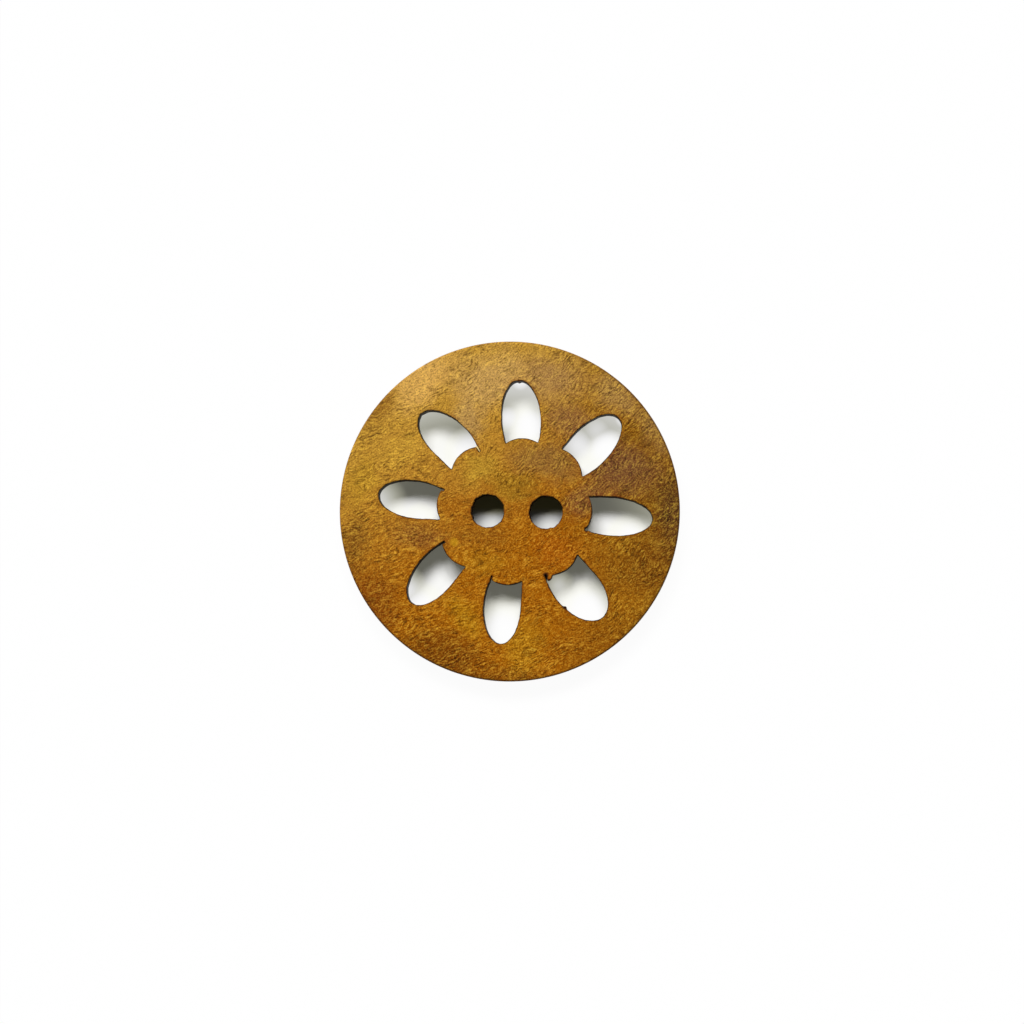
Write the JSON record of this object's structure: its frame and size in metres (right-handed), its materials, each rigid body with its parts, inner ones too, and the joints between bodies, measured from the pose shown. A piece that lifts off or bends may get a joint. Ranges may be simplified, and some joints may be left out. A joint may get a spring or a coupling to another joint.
{
  "type": "two-hole wooden button",
  "caption": "Round flat wooden button for sewing or craft, pierced with petal-shaped openings that ring a scalloped centre with holes for thread.",
  "frame": {"origin": "middle of the disc's outline on its flat back face, which the button lies on", "axes": "+Z out of the front face, through the thickness; +X along the pair of sewing holes, which tilts 1.4 degrees off it; +Y towards the top of the picture"},
  "size_m": [0.03, 0.03, 0.002],
  "materials": {
    "button": "golden brown stained wood with a satin sheen, charred dark on the cut walls"
  },
  "bodies": {
    "root": {"button": "button"}
  },
  "joints": []
}
